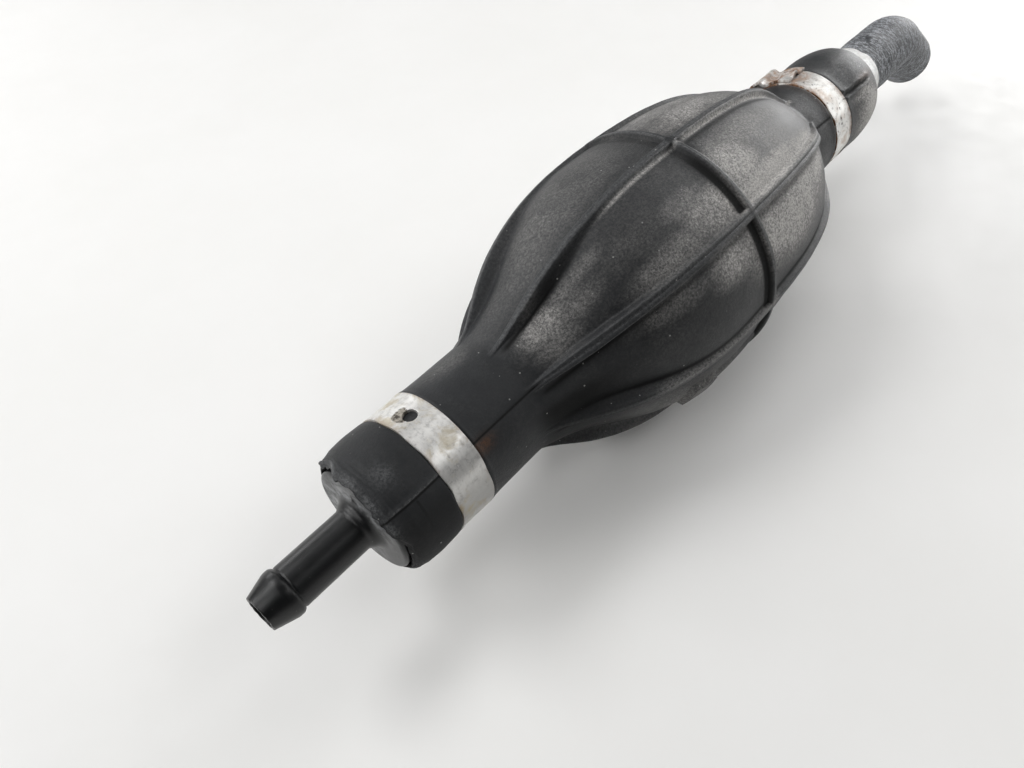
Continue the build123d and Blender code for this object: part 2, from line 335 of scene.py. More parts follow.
def put(tree, kind, inputs, **settings):
    """A new node with its settings. An input that is a socket is linked, and any other is set."""
    made = tree.nodes.new("ShaderNode" + kind)
    for name, value in settings.items():
        setattr(made, name, value)
    for name, value in inputs.items():
        if isinstance(value, bpy.types.NodeSocket):
            tree.links.new(value, made.inputs[name])
        else:
            made.inputs[name].default_value = value
    return made


def place(tree, scale=(1, 1, 1), turn=(0, 0, 0), uv=None):
    """Where a point lies for a texture: on its object, or on the UV map of that name."""
    source = put(tree, "UVMap", {}, uv_map=uv) if uv else put(tree, "TexCoord", {})
    socket = source.outputs["UV"] if uv else source.outputs["Object"]
    return put(tree, "Mapping", {"Vector": socket, "Scale": scale, "Rotation": turn}).outputs[0]


def grain(tree, vector, scale, detail=4.0, roughness=0.6, distortion=0.0):
    inputs = {"Vector": vector, "Scale": scale, "Detail": detail}
    return put(tree, "TexNoise", inputs | {"Roughness": roughness, "Distortion": distortion}).outputs["Fac"]


def between(tree, value, low=0.3, high=0.7, to_low=0.0, to_high=1.0):
    """Stretches a range of values, as a rule the middle of a noise, to another one."""
    inputs = {"Value": value, "From Min": low, "From Max": high, "To Min": to_low, "To Max": to_high}
    return put(tree, "MapRange", inputs, interpolation_type="SMOOTHSTEP").outputs[0]


def combined(tree, operation, a, b, clamp=False):
    return put(tree, "Math", {0: a, 1: b}, operation=operation, use_clamp=clamp).outputs[0]


def times(tree, a, b, clamp=False):
    return combined(tree, "MULTIPLY", a, b, clamp)


def plus(tree, a, b, clamp=False):
    return combined(tree, "ADD", a, b, clamp)


def larger(tree, a, b):
    return combined(tree, "MAXIMUM", a, b)


def mix(tree, amount, a, b):
    inputs = {0: amount, 6: (*a, 1) if isinstance(a, tuple) else a, 7: (*b, 1) if isinstance(b, tuple) else b}
    return put(tree, "Mix", inputs, data_type="RGBA").outputs[2]


def painted(tree, label):
    return put(tree, "Attribute", {}, attribute_name=label).outputs["Fac"]


def shaded(tree, shader, colour, rough, heights):
    """Colour, roughness, and bump from each (height, strength, distance) in turn."""
    tree.links.new(colour, shader.inputs["Base Color"])
    tree.links.new(rough, shader.inputs["Roughness"])
    normal = None
    for height, strength, distance in heights:
        inputs = {"Height": height, "Strength": strength, "Distance": distance}
        if normal:
            inputs["Normal"] = normal
        normal = put(tree, "Bump", inputs).outputs[0]
    tree.links.new(normal, shader.inputs["Normal"])


def bulb_rubber():
    """Old black rubber: bluish where it is clean, fine grey dust in the hollows, rust beside the clamps,
    black seams, and painted sheens, highlights and shade.
    """
    material, tree, shader = nodes_of("bulb_rubber", specular=0.3)
    here = place(tree)
    clouds = grain(tree, here, 50, 5)
    blotches = grain(tree, here, 150, 7, 0.72, 0.3)
    speckle = grain(tree, here, 1900, 5, 0.8)
    fine = grain(tree, here, 3000, 3, 0.7)
    mottle = between(tree, clouds)
    colour = mix(tree, mottle, (0.01, 0.0112, 0.013), (0.02, 0.0215, 0.0236))
    dusting = between(tree, speckle, 0.36, 0.64, 0.03, 0.34)
    haze = times(tree, between(tree, blotches, 0.4, 0.7), dusting)
    colour = mix(tree, haze, colour, (0.056, 0.056, 0.056))
    # Dust, with the dust table's painted sheens and reflection, in a pale grey tone.
    amount = times(tree, painted(tree, "dust"), between(tree, blotches, 0.28, 0.68, 0.55, 1.12))
    amount = times(tree, amount, between(tree, speckle, 0.38, 0.62, 0.36, 1.26), clamp=True)
    dust_and_sheen_tone = mix(tree, between(tree, fine, 0.35, 0.65), (0.32, 0.31, 0.297), (0.6, 0.582, 0.56))
    colour = mix(tree, amount, colour, dust_and_sheen_tone)
    # Wear and painted highlights: worn crests and lip, painted highlights on edges and a painted sheen, all
    # paler.
    wear_and_highlight = times(tree, painted(tree, "wear"), between(tree, speckle, 0.38, 0.66, 0.15, 1.0), True)
    colour = mix(tree, wear_and_highlight, colour, (0.15, 0.153, 0.157))
    rust = times(tree, painted(tree, "rust"), between(tree, speckle, 0.35, 0.6, 0.25, 1.0), True)
    colour = mix(tree, rust, colour, (0.095, 0.045, 0.024))
    # Black seams and cracks, and painted shade and shadows, all near black.
    colour = mix(tree, painted(tree, "seams_and_shade"), colour, (0.003, 0.003, 0.003))
    cells = put(tree, "TexVoronoi", {"Vector": here, "Scale": 620.0}, feature="F1")
    chance = put(tree, "SeparateColor", {0: cells.outputs["Color"]}).outputs[0]
    size = between(tree, chance, 0.62, 1.0, 0.0, 0.12)
    flecks = between(tree, combined(tree, "SUBTRACT", size, cells.outputs["Distance"]), 0.0, 0.04, 0.0, 0.9)
    colour = mix(tree, flecks, colour, (0.3, 0.3, 0.29))
    rough = between(tree, clouds, 0.25, 0.75, 0.38, 0.5)
    dull = larger(tree, amount, painted(tree, "seams_and_shade"))
    rough = plus(tree, rough, times(tree, dull, 0.4), clamp=True)
    scratch_place = place(tree, (90, 1500, 1500), (0.3, 0.2, 0.5))
    scratches = between(tree, grain(tree, scratch_place, 1.0, 2), 0.64, 0.7)
    pitted = [(blotches, 0.3, 0.0005), (speckle, 0.45, 0.00016), (fine, 0.25, 0.00006)]
    shaded(tree, shader, colour, rough, [*pitted, (scratches, -0.15, 0.00012)])
    return material


def fitting_plastic():
    """Satin black moulded plastic, dusty in its pores, finely cracked on the flange's face, which is painted
    paler as a painted reflection.
    """
    material, tree, shader = nodes_of("fitting_plastic", specular=0.42)
    here = place(tree)
    clouds = grain(tree, here, 120, 4)
    pores = grain(tree, here, 1900, 4, 0.7)
    face = painted(tree, "face")
    mottle = between(tree, clouds)
    colour = mix(tree, mottle, (0.0042, 0.0045, 0.005), (0.0085, 0.0089, 0.0095))
    # The flange's face painted pale grey and rougher: a painted reflection of bright surroundings.
    dull = between(tree, grain(tree, here, 260, 6, 0.75), 0.34, 0.66, 0.15, 1.0)
    dull = times(tree, face, dull)
    colour = mix(tree, dull, colour, (0.36, 0.366, 0.372))
    cells = put(tree, "TexVoronoi", {"Vector": here, "Scale": 105.0}, feature="DISTANCE_TO_EDGE")
    wander = grain(tree, here, 330, 4, 0.7)
    cracks = between(tree, plus(tree, cells.outputs["Distance"], times(tree, wander, 0.1)), 0.076, 0.058)
    some = between(tree, grain(tree, here, 95, 2), 0.47, 0.53)
    cracks = times(tree, times(tree, cracks, face), some)
    colour = mix(tree, cracks, colour, (0.006, 0.006, 0.006))
    lint = times(tree, between(tree, pores, 0.66, 0.76), 0.35)
    colour = mix(tree, lint, colour, (0.2, 0.2, 0.195))
    rough = plus(tree, between(tree, clouds, 0.3, 0.7, 0.3, 0.4), times(tree, face, 0.2))
    pitted = [(clouds, 0.1, 0.0004), (pores, 0.2, 0.00008), (cracks, -0.5, 0.0001)]
    shaded(tree, shader, colour, rough, pitted)
    return material


def clamp_steel(name, tone, stain_tone, metallic, stained, rusted):
    """Rolled zinc-plated strip: finely scratched, mottled and stained, rusting in from its edges."""
    material, tree, shader = nodes_of(name)
    flat = place(tree, uv="strip")
    brushed = grain(tree, place(tree, (90, 1100, 1), uv="strip"), 1.0, 3, 0.7)
    crossed = grain(tree, place(tree, (1500, 120, 1), (0, 0, 0.4), uv="strip"), 1.0, 3, 0.7)
    blotches = grain(tree, flat, 190, 6, 0.7, 0.5)
    patches = grain(tree, flat, 75, 4, 0.55)
    specks = grain(tree, flat, 900, 4, 0.65)
    colour = mix(tree, between(tree, brushed), tuple(0.9 * c for c in tone), tone)
    dim = between(tree, patches, 0.38, 0.62, 0.0, 0.25)
    # Darker in random patches and on the side painted darker.
    dim = larger(tree, dim, painted(tree, "dimmed_side"))
    colour = mix(tree, dim, colour, tuple(0.4 * c for c in tone))
    mottle = between(tree, specks, 0.44, 0.62, 0.0, 0.36)
    colour = mix(tree, mottle, colour, tuple(0.45 * c for c in tone))
    stain = times(tree, between(tree, blotches, 0.5, 0.66), stained)
    colour = mix(tree, stain, colour, stain_tone)
    mark = times(tree, painted(tree, "mark"), between(tree, blotches, 0.3, 0.6, 0.5, 1.2))
    mark = between(tree, mark, 0.42, 0.58)
    bare = between(tree, specks, 0.4, 0.6)
    mark_tone = mix(tree, bare, (0.06, 0.05, 0.04), (0.4, 0.37, 0.32))
    colour = mix(tree, mark, colour, mark_tone)
    edge = times(tree, painted(tree, "edge"), between(tree, blotches, 0.38, 0.6), clamp=True)
    edge = times(tree, edge, rusted)
    flaky = between(tree, specks, 0.35, 0.65)
    rust_tone = mix(tree, flaky, (0.075, 0.038, 0.024), (0.3, 0.165, 0.09))
    colour = mix(tree, edge, colour, rust_tone)
    pits = times(tree, between(tree, specks, 0.58, 0.64), between(tree, patches, 0.44, 0.56))
    colour = mix(tree, times(tree, pits, rusted), colour, (0.05, 0.034, 0.026))
    rough = plus(tree, between(tree, crossed, 0.3, 0.7, 0.3, 0.42), times(tree, stain, 0.3))
    rough = plus(tree, rough, times(tree, larger(tree, edge, mark), 0.4), clamp=True)
    dull = larger(tree, larger(tree, edge, pits), mark)
    tree.links.new(between(tree, dull, 0.0, 0.8, metallic, 0.15), shader.inputs["Metallic"])
    rolled = [(patches, 0.1, 0.0006), (brushed, 0.12, 0.00005), (crossed, 0.14, 0.00005)]
    shaded(tree, shader, colour, rough, [*rolled, (pits, -0.4, 0.0001)])
    return material


def hose_rubber():
    """Hose cover with the streaky print of the cloth that it was cured in."""
    material, tree, shader = nodes_of("hose_rubber", specular=0.35)
    streaks = grain(tree, place(tree, (1500, 520, 1), (0, 0, 0.45), uv="hose"), 1.0, 4, 0.75, 0.5)
    weave = grain(tree, place(tree, (1300, 2600, 1), (0, 0, -0.6), uv="hose"), 1.0, 4, 0.7)
    clouds = grain(tree, place(tree), 120, 4)
    colour = mix(tree, between(tree, clouds), (0.018, 0.02, 0.023), (0.04, 0.043, 0.048))
    light = times(tree, between(tree, streaks, 0.44, 0.58), between(tree, weave, 0.36, 0.56, 0.2, 1.0))
    light = times(tree, light, between(tree, clouds, 0.25, 0.6, 0.55, 1.0))
    colour = mix(tree, light, colour, (0.36, 0.375, 0.4))
    colour = mix(tree, painted(tree, "cut"), colour, (0.02, 0.02, 0.021))
    rough = between(tree, streaks, 0.3, 0.7, 0.48, 0.72)
    shaded(tree, shader, colour, rough, [(streaks, 0.4, 0.00022), (weave, 0.35, 0.00012)])
    return material


def plain_grain(name, dark, light, roughness, scale, metallic=0.0, bump=0.15):
    """For the small parts inside: two close tones in a fine grain."""
    material, tree, shader = nodes_of(name, metallic=metallic)
    here = place(tree)
    clouds = grain(tree, here, scale, 5)
    fine = grain(tree, here, scale * 12, 3)
    colour = mix(tree, between(tree, clouds), dark, light)
    rough = between(tree, fine, 0.3, 0.7, roughness - 0.08, roughness + 0.08)
    shaded(tree, shader, colour, rough, [(clouds, bump, 0.0002), (fine, bump, 0.00005)])
    return material


def wear(piece, material):
    """Gives a piece its only material."""
    piece.data.materials.clear()
    piece.data.materials.append(material)


# ---- rubber bulb ----


bulb_line = curve_through(OUTLINE, NEAR_SHOULDER_SLOPE, FAR_SHOULDER_SLOPE)
rib_line = curve_through(RIB_LINE, 0, FAR_SHOULDER_SLOPE)

# Dust on the rubber, and a few painted sheens: along the pump and round it, half-sizes (mm, degrees), and how
# strong.
DUST_AND_SHEEN = [
    (118, 129, 18, 7, 1.7),
    (131, 130, 14, 5, 1.4),
    (126, 120, 9, 9, 0.55),
    (111, 118, 7, 15, 1.1),
    (121, 107, 16, 10, 0.48),
    (98, 124, 8, 9, 1.0),
    (93, 114, 7, 6, 0.36),
    (86, 127, 12, 7, 0.45),
    (80, 112, 16, 10, 0.12),
    (60, 106, 5, 12, 0.62),
    (64, 113, 9, 8, 0.3),
    (60, 122, 5, 9, 0.3),
    (68, 102, 8, 5, 0.3),
    (118, 150, 17, 15, 1.35),
    (131, 144, 11, 9, 1.2),
    (97, 145, 9, 9, 0.75),
    (80, 143, 10, 6, 0.28),
    (105, 120, 46, 60, 0.08),
    (80, 68, 26, 18, 0.22),
    (121, 78, 15, 11, 0.62),
    (119, 62, 16, 14, 0.55),
    (84, 203, 14, 14, 0.4),
    (124, 203, 20, 16, 0.4),
    (172, 125, 22, 60, 0.06),
    # These two are a painted reflection on the far bead's lower side, not dust.
    (181, 172, 7, 30, 1.4),
    (178, 146, 5, 7, 1.1),
    # A painted sheen on the near neck's top, not dust.
    (45, 64, 6, 12, 0.16),
    (157, 120, 6, 40, 0.07),
    (90, 270, 40, 60, 0.3),
    (120, 0, 40, 50, 0.3),
]


def turn_gap(turns, middle):
    """Degrees from the middle, the short way round."""
    return (turns - middle + 180) % 360 - 180


def offset(x, r, shifts):
    """Points of an outline, each shifted by so many millimetres from one place."""
    return [(x + along * MM, r + out * MM) for along, out in shifts]


def band_seat(band):
    start, end = band[0].x, band[1].x
    return flowing([(start + 0.5 * MM, BAND_SEAT_R), (end - 0.5 * MM, BAND_SEAT_R)], 2.5 * MM)


def near_mouth_path():
    """Outline of the rubber from inside the outlet's pocket, over the lip and bead, to the neck."""
    start, end = NEAR_BAND[0].x, NEAR_BAND[1].x
    shifts = (0.35, 0.02), (0.02, 0.25), (0.22, 0.5), (0.4, 0.66), (0.42, 0.9)
    lip = [
        (NEAR_MOUTH_X + POCKET_DEPTH, POCKET_R),
        *offset(NEAR_MOUTH_X, POCKET_R, shifts),
        *offset(NEAR_MOUTH_X, BEAD_R, [(1.1, -0.75), (2.8, -0.22)]),
    ]
    bead = [
        *offset(NEAR_MOUTH_X, BEAD_R, [(2.8, -0.22), (5.5, 0)]),
        (start - 2.0 * MM, BEAD_R - 0.05 * MM),
        *offset(start, NECK_R, [(-0.45, 0.22), (-0.05, -0.05)]),
        (start + 0.5 * MM, BAND_SEAT_R),
    ]
    neck = [
        (end - 0.5 * MM, BAND_SEAT_R),
        *offset(end, NECK_R, [(0.05, -0.05), (0.5, 0.2), (2.2, 0.02)]),
        (NEAR_NECK_END - 5 * MM, NECK_R),
    ]
    made = flowing(lip, 0.12 * MM), flowing(bead, 0.22 * MM), band_seat(NEAR_BAND), flowing(neck, 0.45 * MM)
    return [part[:-1] for part in made]


def far_mouth_path():
    """Outline of the rubber from the inlet neck, over its bead and lip, into the pocket."""
    start, end = FAR_BAND[0].x, FAR_BAND[1].x
    neck = [
        (FAR_NECK_START + 3 * MM, NECK_R),
        *offset(start, NECK_R, [(-2.2, 0.02), (-0.5, 0.2), (-0.05, -0.05)]),
        (start + 0.5 * MM, BAND_SEAT_R),
    ]
    tapered = (-9.5, 0), (-6.0, -0.2), (-3.0, -0.7), (-1.2, -1.2)
    bead = [
        (end - 0.5 * MM, BAND_SEAT_R),
        *offset(end, NECK_R, [(0.05, -0.05), (0.5, 0.2), (3.0, 0.1)]),
        *offset(FAR_MOUTH_X, BEAD_R, tapered),
        *offset(FAR_MOUTH_X, POCKET_R, [(-0.3, 0.45), (-0.05, 0.22), (-0.4, 0.02)]),
        (FAR_MOUTH_X - POCKET_DEPTH, POCKET_R),
    ]
    return [flowing(neck, 0.45 * MM)[:-1], band_seat(FAR_BAND)[:-1], flowing(bead, 0.35 * MM)]


BULB_ROWS = 225


def bulb_path():
    """Outline of the bulb between its necks, with more points where the ring stands."""
    start = NEAR_NECK_END - 5 * MM
    stop = FAR_NECK_START + 3 * MM
    marks = np.linspace(start, stop, 2000)
    density = 1 + 2.0 * hump(marks - RING_X, 0, 2.4)
    share = np.cumsum(density)
    x = np.interp(np.linspace(share[0], share[-1], BULB_ROWS), share, marks)[:-1]
    return np.stack([x, bulb_line(x)], -1)


def chamber_path():
    """Outline of the inside, from the inlet pocket back to the outlet pocket."""
    x = np.linspace(FAR_NECK_START - 1 * MM, NEAR_NECK_END + 1 * MM, 48)
    r = np.maximum(bulb_line(x) - WALL, BORE_R)
    ends = [(FAR_MOUTH_X - POCKET_DEPTH - 0.02 * MM, BORE_R), (FAR_BAND[0].x, BORE_R)]
    starts = [(NEAR_BAND[1].x, BORE_R), (NEAR_MOUTH_X + POCKET_DEPTH + 0.02 * MM, BORE_R)]
    return np.vstack([ends, np.stack([x, r], -1), starts])


def far_line(x, r, turns, start_x, start_turn, slant):
    """How far the points lie from a line that slants across the far end, in metres."""
    return turn_gap(turns, start_turn + slant * (x - start_x) / MM) * TURN * r


def landmarks(x, r, turns):
    """How the points of the outside lie to the ribs, the ring, the parting line and the ends."""
    at = SimpleNamespace(x=x, r=r, turns=turns)
    nearest = np.round(turns / RIB_STEP) * RIB_STEP
    at.gap = (turns - nearest) * TURN * r
    at.parting_rib = np.abs(turn_gap(nearest, PARTING)) % 180 < 1
    at.on_bulb = (x > RIB_LINE[0][0]) & (x < RIB_LINE[-1][0])
    at.rise = np.where(at.on_bulb, np.maximum(rib_line(x) - r, 0), 0)
    at.on_rib = ramp(at.rise, 0.2, 0.5)
    # Near the outlet the ribs narrow to prows.
    spread = 0.55 + 0.45 * ramp(x - NEAR_NECK_END, -2, 14)
    crest = np.where(at.parting_rib, PARTING_CREST, RIB_CREST) * spread
    at.foot = np.where(at.parting_rib, PARTING_FOOT, RIB_FOOT) * spread
    at.ribs = at.rise * ridge(at.gap, crest, at.foot)
    at.from_ring = x - RING_X - RING_OFFSET
    at.ring = RING_LIFT * ridge(at.from_ring, RING_CREST, RING_FOOT)
    at.off_ring = at.ring < 0.1 * MM
    at.off_ribs = at.ribs < 0.6 * MM
    at.past_ring = ramp(at.from_ring, 1.5, 2) * ramp(x, 146, -8)
    at.off_parting = turn_gap(turns, PARTING)
    at.beside = at.off_parting * TURN * r
    at.from_b = turn_gap(turns, PARTING - RIB_STEP) * TURN * r
    at.from_d = turn_gap(turns, PARTING + RIB_STEP) * TURN * r
    at.near_bead = ramp(NEAR_BAND[0].x - x, 0, 0.5)
    at.from_mouth = ramp(x - NEAR_MOUTH_X, 0.2, 1.2)
    at.far_bead = ramp(x - FAR_BAND[1].x, 0.2, 0.8) * ramp(x, 184, -3)
    at.to_crack = far_line(x, r, turns, FAR_BAND[1].x, PARTING - 2.4, 0.2)
    at.to_crack = at.to_crack + 0.1 * MM * np.sin(x / (0.9 * MM)) + 0.06 * MM * np.sin(x / (0.31 * MM))
    at.far_neck = ramp(x - FAR_NECK_START, 0, 1.5) * ramp(FAR_BAND[0].x - x, 0, 0.4)
    at.to_split = far_line(x, r, turns, FAR_NECK_START, PARTING + 3.4, 0.16)
    at.layers = np.sin((x - NEAR_MOUTH_X) / (0.5 * MM) * math.tau + 1.5 * np.sin(5 * turns * TURN))
    return at


def ribs_and_ring(at):
    """Ribs and ring, a shallow gutter beside them, and the groove that the mould's halves left."""
    relief = soft_max(at.ribs, at.ring, 0.12 * MM)
    beside_rib = hump(np.abs(at.gap) - at.foot, 0.22, 0.55) * ramp(at.rise, 0, 0.8)
    beside_ring = hump(np.abs(at.from_ring) - RING_FOOT, 0.22, 0.55)
    relief -= GUTTER_DEPTH * np.maximum(beside_rib * at.off_ring, beside_ring * (at.ribs < 0.1 * MM))
    groove = np.where(at.parting_rib, hump(at.gap, 0, 0.24), 0) * (at.x < FAR_NECK_START)
    return relief - groove * (0.34 * MM - at.on_rib * 0.22 * MM)


def end_marks(at):
    """The near bead's parting step and crease, the far bead's and neck's splits, the lip's thin layers."""
    line = hump(at.beside, 0.1, 0.22) * 0.3 * MM
    ledge = hump(at.beside, -0.6, 0.45) * 0.24 * MM
    marks = at.near_bead * at.from_mouth * (ledge - line)
    step = ramp(at.beside, -0.15, 0.25) * ease((50 - at.off_parting) / 25) * (at.off_parting > -9)
    marks -= at.near_bead * step * (0.14 * MM + 0.26 * MM * ramp(CREASE_X - at.x, 0, 0.4))
    marks += at.far_bead * hump(at.to_crack, -0.9, 0.55) * 0.4 * MM
    marks += at.far_bead * hump(at.to_crack, 0.95, 0.6) * 0.3 * MM
    marks -= at.far_bead * hump(at.to_crack, 0, 0.48) * 0.85 * MM
    marks -= at.far_neck * hump(at.to_split, 0, 0.34) * 0.45 * MM
    return marks + at.layers * hump(at.x - NEAR_MOUTH_X, 1.0, 0.7) * 0.14 * MM


def raised_plate(at):
    """A generic plate on one panel: a thick end, a notch, and a thin strip."""
    across = ridge(turn_gap(at.turns, PLATE_TURN) * TURN * at.r, 3.5 * MM, 4.0 * MM)
    thick = ramp(at.x, 80.4, 0.7) * ramp(at.x, 87.4, -0.6)
    thin = ramp(at.x, 88.2, 0.6) * ramp(at.x, 102.6, -0.9)
    return across * (1.25 * MM * thick + 0.65 * MM * thin)


def dust_and_sheen_on(at):
    """Dust in the hollows, and along the upper foot of one rib and the crest of another, with the table's
    painted sheens.
    """
    dust = np.zeros_like(at.gap)
    for middle_x, middle_turn, half_length, half_turn, strength in DUST_AND_SHEEN:
        along = (at.x / MM - middle_x) / half_length
        across = turn_gap(at.turns, middle_turn) / half_turn
        dust = np.maximum(dust, strength * np.exp(-((along**2 + across**2) ** 1.5)))
    crest_line = at.crest_line * np.where(at.parting_rib, 1.0, 0.5)
    dust = dust * (1 - 0.8 * np.maximum(crest_line, hump(at.from_ring, 0, 0.9)))
    foot = hump(at.from_b, 1.5, 0.5) * ramp(at.x, 76, 10) * (1 - at.past_ring) * 0.75
    foot = at.on_bulb * np.maximum(foot, hump(at.from_b, 1.1, 0.45) * at.past_ring * 1.3)
    crest = hump(at.from_d, -0.4, 0.7) * at.on_bulb * ramp(at.x, 66, 12) * 0.5
    return np.maximum(dust, np.maximum(foot, crest * (1 - at.past_ring)))


def wear_and_highlights_on(at):
    """Paler places: worn crests and the torn lip's edge, the crests partly a painted highlight, with painted
    highlights on the near bead's parting step and the ring's near edge and a painted sheen on the near bead.
    """
    edges = hump(np.abs(at.gap), 0.85, 0.22) * at.parting_rib * at.on_rib
    thread = hump(at.gap, 0, 0.26) * at.on_rib * at.off_ring
    # Painted highlight along the lit edge of the near bead's parting step.
    ledge = hump(at.beside, -0.42, 0.22) * at.near_bead * at.from_mouth
    lip_edge = hump(at.x - NEAR_MOUTH_X, 0.55, 0.45) * (0.7 + 0.3 * np.sin(13 * at.turns * TURN))
    lip_edge = lip_edge * ease((75 - np.abs(turn_gap(at.turns, 95))) / 25)
    # Painted sheen on the near bead.
    painted_sheen = hump(at.x, 20.9, 1.9) * bell(turn_gap(at.turns, 107), 9)
    places = [
        # Paler crests: partly wear, partly a painted highlight.
        at.crest_line * ~at.parting_rib * 0.4 * at.off_ring,
        at.crest_line * at.parting_rib * 0.22,
        edges * 0.3,
        thread * 0.6,
        ledge * 1.1,
        lip_edge * 1.2,
        painted_sheen * 0.8,
        # Painted highlight along the ring's near edge.
        0.8 * hump(at.from_ring, -0.25, 0.26) * at.off_ribs,
    ]
    return largest(places)


def rust_on(at):
    """Rust that the clamps have left on the rubber."""
    beside_near_band = hump(at.x, 37.6, 2.2) * bell(turn_gap(at.turns, 141), 6)
    on_far_bead = 0.8 * hump(at.x, 182, 4) * bell(turn_gap(at.turns, 131), 5)
    under_far_band = 0.35 * hump(at.x - FAR_BAND[0].x, 0, 1.5) * bell(turn_gap(at.turns, 100), 50)
    return largest([beside_near_band, on_far_bead, under_far_band])


def seams_and_shade_on(at):
    """Black lines where the rubber parts and cracks, and painted shade and shadows: in front of the ring,
    along the ribs' feet, on the low side near the outlet, in the near bead's crease, under the lip and its
    layers, and over the near bead.
    """
    groove = np.where(at.parting_rib, hump(at.gap, 0, 0.26), 0) * (at.x < FAR_NECK_START)
    # Painted shade in the near bead's crease.
    crease = hump(at.x - CREASE_X, 0, 0.24) * ease((at.off_parting - 0.5) / 2)
    crease = crease * ease((42 - at.off_parting) / 16)
    # Painted shadow: a dark band in front of the ring, where its shadow falls.
    corner = ramp(at.from_ring, -3.4, 0.9) * ramp(at.from_ring, -0.55, -0.35) * at.off_ribs
    corner = corner * (0.35 + 0.62 * ease((80 - np.abs(turn_gap(at.turns, 175))) / 12))
    # Painted shade between the lip's thin layers.
    under_layers = 0.5 * np.clip(-at.layers, 0, 1) * hump(at.x - NEAR_MOUTH_X, 1.0, 0.6)
    # Painted shade along the ribs' feet, on the sides turned from the light.
    towards_outlet = ramp(at.x, 76, -12)
    b_foot = hump(at.from_b, 1.55, 0.62) * towards_outlet
    c_foot = hump(at.beside, 1.95, 0.55) * (0.6 + 0.35 * towards_outlet)
    d_feet = [
        hump(at.from_d, -1.75, 0.55) * 0.75,
        hump(at.from_d, 1.75, 0.5) * towards_outlet,
    ]
    feet_shade = largest([b_foot, hump(at.from_b, 2.35, 0.45) * at.past_ring * 0.6, c_foot, *d_feet])
    # Painted shade over the lower side towards the outlet end.
    low_side_shade = ease((42 - np.abs(turn_gap(at.turns, 190))) / 14) * ramp(at.x, 74, -16) * ramp(at.x, 46, 8)
    low_side_shade = low_side_shade * (0.62 + 0.26 * ease((178 - at.turns) / 6))
    # Painted shadow inside the lip, and painted shade over the near bead, darker past the parting line.
    under_lip = (at.x < NEAR_MOUTH_X + 1.4 * MM) & (at.r < POCKET_R + 0.3 * MM)
    bead = at.near_bead * (0.2 + 0.4 * ease(at.off_parting / 20))
    places = [
        groove * (1 - 0.85 * at.on_rib),
        at.far_bead * hump(at.to_crack, 0, 0.42),
        at.far_neck * hump(at.to_split, 0, 0.3),
        at.near_bead * crease * 0.8,
        under_layers,
        corner,
        feet_shade * at.on_rib * at.off_ring,
        low_side_shade,
        np.where(under_lip, 1.0, bead),
    ]
    return largest(places)


def surface_relief(x, r, turns):
    """How far the outside stands off its turned outline, and the dust, wear, rust and black seam lines on it,
    with painted sheens, highlights and shade.
    """
    at = landmarks(x, r, turns)
    at.crest_line = hump(at.gap, 0, 0.85) * np.clip(at.rise / (0.8 * MM), 0, 1)
    relief = soft_max(ribs_and_ring(at) + end_marks(at), raised_plate(at), 0.1 * MM)
    return relief, {"dust": dust_and_sheen_on(at), "wear": wear_and_highlights_on(at), "rust": rust_on(at), "seams_and_shade": seams_and_shade_on(at)}


SHELL_COLUMNS = 54  # between one rib and the next
COLUMN_CROWDING = 0.85  # towards the ribs
LIP_CREPT_TURN = 112
LIP_CREEP = 1.5 * MM
LIP_FLAP_TURN = 37


def ragged_lip(points, outward, x, r, turns):
    """Makes the outlet's lip ragged, with a torn flap on one side, and lets it creep over the flange."""
    at_lip = hump(x - NEAR_MOUTH_X, 0, 0.7)
    ragged = waves(points, 1.0 * MM, 3) * 0.34 * MM + waves(points, 4 * MM, 7) * 0.25 * MM
    flap = bell(turn_gap(turns, LIP_FLAP_TURN)[None, :], 5) * hump(r - POCKET_R, 0.9, 0.5)
    points += outward * (at_lip * (ragged + flap * 0.9 * MM))[..., None]
    points[..., 0] += at_lip * (ragged - flap * 0.5 * MM)
    crept = ease((56 - np.abs(turn_gap(turns, LIP_CREPT_TURN))) / 22)[None, :]
    outside_pocket = r > POCKET_R - 0.001 * MM
    points[..., 0] -= LIP_CREEP * crept * ramp(x - NEAR_MOUTH_X, 2.0, -1.7) * outside_pocket


def bulb_shell(name, first_turn):
    """Half of the rubber body, from one parting line to the other, closed where the halves meet."""
    intervals = []
    for i in range(4):
        t = np.arange(SHELL_COLUMNS) / SHELL_COLUMNS
        intervals.append(first_turn + RIB_STEP * (i + t - COLUMN_CROWDING * np.sin(math.tau * t) / math.tau))
    turns = np.append(np.concatenate(intervals), first_turn + 180.0)
    outside = np.vstack([*near_mouth_path(), bulb_path(), *far_mouth_path()])
    inside = chamber_path()
    x, r = outside[:, :1], outside[:, 1:]
    relief, looks = surface_relief(x, r, turns[None, :])
    points = turned(outside, turns)
    outward = points * (0, 1, 1)
    outward /= np.linalg.norm(outward, axis=-1, keepdims=True)
    lumps = waves(points, 9 * MM, 1) * 0.07 * MM + waves(points, 2.2 * MM, 2) * 0.025 * MM
    points += outward * (relief + lumps)[..., None]
    ragged_lip(points, outward, x, r, turns)
    grid = np.vstack([points, turned(inside, turns)])
    blank = np.zeros((len(inside), len(turns)))
    values = {}
    for label, numbers in looks.items():
        values[label] = np.vstack([np.broadcast_to(numbers, relief.shape), blank])
    return lattice(name, grid, True, False, values, caps=True)


rubber = bulb_rubber()
for name, first_turn, wall, node in (
    ("bulb_shell_left", PARTING - 180, "left_wall", "bulb_wall_left"),
    ("bulb_shell_right", PARTING, "right_wall", "bulb_wall_right"),
):
    shell = bulb_shell(name, first_turn)
    wear(shell, rubber)
    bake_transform(shell)
    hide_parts(node)
    if name == "bulb_shell_left":
        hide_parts("bulb_body")

# ---- nozzle ----


